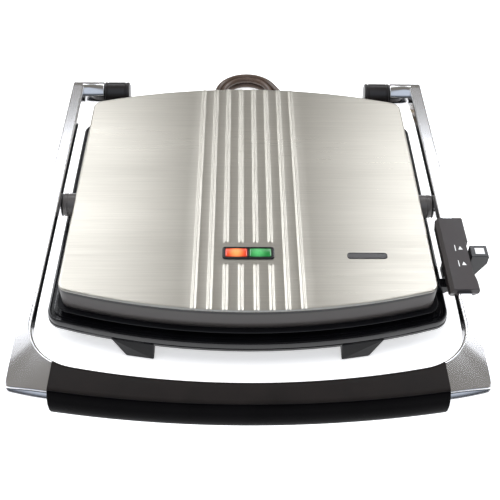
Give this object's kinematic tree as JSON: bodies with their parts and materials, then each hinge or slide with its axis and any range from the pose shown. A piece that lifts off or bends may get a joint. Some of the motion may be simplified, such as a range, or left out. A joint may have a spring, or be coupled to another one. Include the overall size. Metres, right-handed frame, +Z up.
{
  "type": "panini press",
  "caption": "Countertop panini press: bowed brushed-steel floating lid over a black base, carried by a U-shaped metal arm frame with a black front grip and a side slide latch.",
  "frame": {"origin": "on the surface the press stands on, at the centre of the box round the press without its mains cord; the press's own plane of symmetry is 11 mm to the -X side of it, because the latch knob stands out at +X", "axes": "+X to the press's right seen from the user's side, +Y away from the user towards the hinge, +Z up"},
  "size_m": [0.391, 0.5023, 0.071],
  "materials": {
    "brushed_steel": "brushed from side to side, satin",
    "cast_metal": "die-cast, satin polished",
    "black_plastic": "moulded, semi-gloss",
    "dark_plastic": "moulded, fine matt grain",
    "grip_plastic": "moulded, satin",
    "latch_plastic": "moulded, fine grain",
    "bezel_plastic": "moulded, satin",
    "white_plastic": "moulded, satin",
    "rubber": "matt",
    "cord_rubber": "smooth flexible sheath, semi-gloss",
    "nonstick": "black non-stick coating on a cast plate",
    "steel": "zinc plated",
    "element_steel": "heat-dulled tube",
    "bright_sheet": "bright rolled sheet",
    "ceramic": "unglazed ceramic",
    "bush_plastic": "natural nylon",
    "brass": "plated brass",
    "red_lens": "clear red moulding",
    "green_lens": "clear green moulding",
    "lamp_glass": "neon lamp",
    "badge_enamel": "satin enamel, blank"
  },
  "bodies": {
    "base": {"base_housing": "black_plastic", "bottom_cover": "dark_plastic", "rubber_feet": "rubber", "base_screws": "steel", "lower_grill_plate": "nonstick", "lower_heating_element": "element_steel", "lower_heat_reflector": "bright_sheet", "lower_thermostat": "ceramic", "thermal_fuse": "ceramic", "terminal_block": "ceramic", "hinge_pins": "steel", "latch_keeper": "black_plastic", "cord_gland": "cord_rubber", "cord_lead": "cord_rubber", "cord_coil": "cord_rubber", "cord_tail": "cord_rubber", "plug_body": "black_plastic", "plug_pins": "brass"},
    "arms": {"left_arm": "cast_metal", "right_arm": "cast_metal", "hinge_bushes": "bush_plastic", "float_pins": "steel", "grip_upper": "grip_plastic", "grip_lower": "grip_plastic", "grip_core": "steel", "grip_screws": "steel", "latch_housing": "latch_plastic"},
    "latch": {"latch_slider": "latch_plastic", "latch_marker": "white_plastic"},
    "lid": {"lid_cover": "brushed_steel", "lid_frame": "black_plastic", "lid_screws": "steel", "upper_grill_plate": "nonstick", "upper_heating_element": "element_steel", "upper_heat_reflector": "bright_sheet", "upper_thermostat": "ceramic", "indicator_bezel": "bezel_plastic", "power_lens": "red_lens", "ready_lens": "green_lens", "indicator_lamps": "lamp_glass", "badge_plate": "badge_enamel"}
  },
  "joints": [
    {"name": "arm_hinge", "type": "hinge", "parent": "base", "child": "arms", "pos_m": [-0.011, 0.196, 0.057], "axis": [-1, 0, 0], "range_deg": [0, 100]},
    {"name": "lid_float", "type": "hinge", "parent": "arms", "child": "lid", "pos_m": [-0.011, 0.031, 0.0485], "axis": [-1, 0, 0], "range_deg": [-2, 2]},
    {"name": "latch_slide", "type": "slide", "parent": "arms", "child": "latch", "axis": [0, -1, 0], "range_m": [0, 0.017]}
  ]
}
